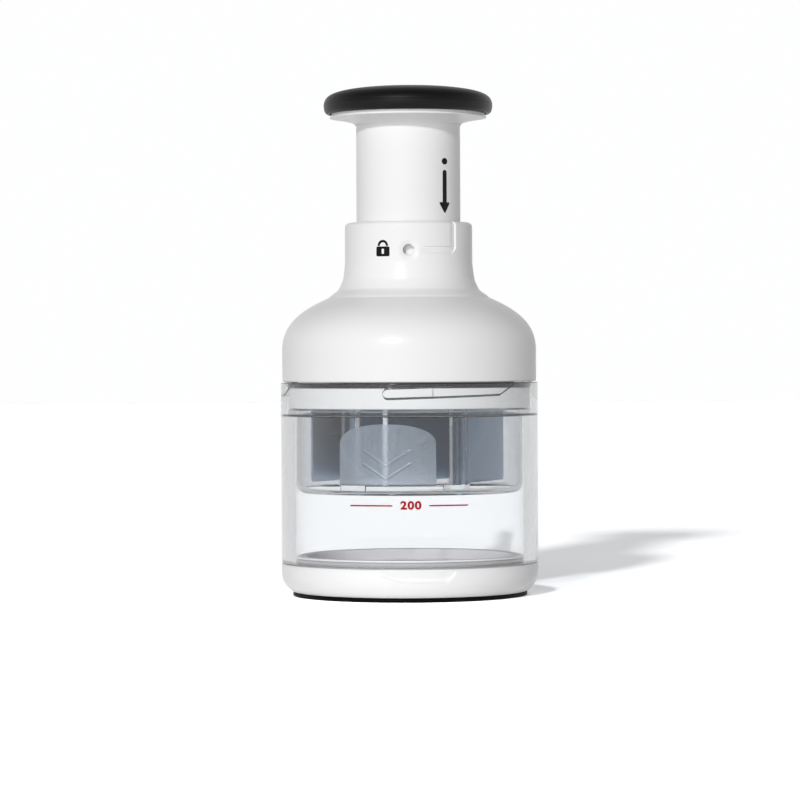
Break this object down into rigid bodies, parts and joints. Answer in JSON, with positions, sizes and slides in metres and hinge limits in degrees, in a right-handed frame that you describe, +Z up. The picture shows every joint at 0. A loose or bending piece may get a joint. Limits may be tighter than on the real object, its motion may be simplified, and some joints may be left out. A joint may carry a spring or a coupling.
{
  "type": "hand press food chopper",
  "caption": "Hand press food chopper: a sprung knob drives a turning zigzag blade down inside a clear cup onto a base lid, with a bayonet housing, a blade guard and a lock.",
  "frame": {"origin": "under the middle of the foot pad, on the surface that the chopper stands on", "axes": "+Z up along the plunger's axis, -Y the front with the lock hole and the fill line, +X to the right seen from the front"},
  "size_m": [0.109, 0.109, 0.2162],
  "materials": {
    "white_plastic": "gloss moulded",
    "soft_black": "matt moulded",
    "seal_silicone": "matt moulded",
    "clear_plastic": "polished clear plastic",
    "smoke_plastic": "polished grey translucent plastic",
    "acetal": "satin moulded",
    "steel": "satin",
    "spring_steel": "bright drawn",
    "zinc_screws": "zinc plated"
  },
  "bodies": {
    "base": {"base_lid": "white_plastic", "foot_pad": "soft_black", "base_seal": "seal_silicone"},
    "cup": {"cup": "clear_plastic"},
    "rim": {"rim_seal": "seal_silicone"},
    "housing": {"housing_shell": "white_plastic", "bayonet_cover": "white_plastic", "guide_bushing": "acetal", "lock_sleeve": "acetal", "index_sleeve": "acetal", "cover_screw_1": "zinc_screws", "cover_screw_2": "zinc_screws", "cover_screw_3": "zinc_screws", "guard_shell": "smoke_plastic", "guard_cage": "clear_plastic", "return_spring": "spring_steel"},
    "ram": {"spring_cap": "acetal", "thrust_washer": "acetal"},
    "plunger": {"plunger_tube": "white_plastic", "knob_core": "white_plastic", "knob_cap": "soft_black", "knob_screw_1": "zinc_screws", "knob_screw_2": "zinc_screws"},
    "cutter": {"drive_shaft": "steel", "index_pin": "steel", "shaft_clip": "spring_steel", "blade_carrier": "acetal", "zigzag_blade": "steel"}
  },
  "joints": [
    {"name": "cup_lift", "type": "slide", "parent": "base", "child": "cup", "axis": [0, 0, 1], "range_m": [0, 0.025]},
    {"name": "housing_rise", "type": "slide", "parent": "cup", "child": "rim", "axis": [0, 0, 1], "range_m": [0, 0.000851]},
    {"name": "housing_twist", "type": "hinge", "parent": "rim", "child": "housing", "pos_m": [0, 0, 0.09], "axis": [0, 0, 1], "range_deg": [0, 32]},
    {"name": "plunger_slide", "type": "slide", "parent": "housing", "child": "ram", "axis": [0, 0, 1], "range_m": [-0.036, 0], "stiffness_N_per_m": 600, "springref_m": 0.02, "deforming": ["return_spring"]},
    {"name": "lock_turn", "type": "hinge", "parent": "ram", "child": "plunger", "pos_m": [0, 0, 0.2], "axis": [0, 0, 1], "range_deg": [-44, 0]},
    {"name": "blade_index", "type": "hinge", "parent": "ram", "child": "cutter", "pos_m": [0, 0, 0.08], "axis": [0, 0, 1], "range_deg": [0, 20.01]}
  ],
  "couplings": [
    {"joint": "housing_rise", "follows": "housing_twist", "m_per_rad": 0.0015219},
    {"joint": "blade_index", "follows": "plunger_slide", "rad_per_m": -9.6963}
  ]
}
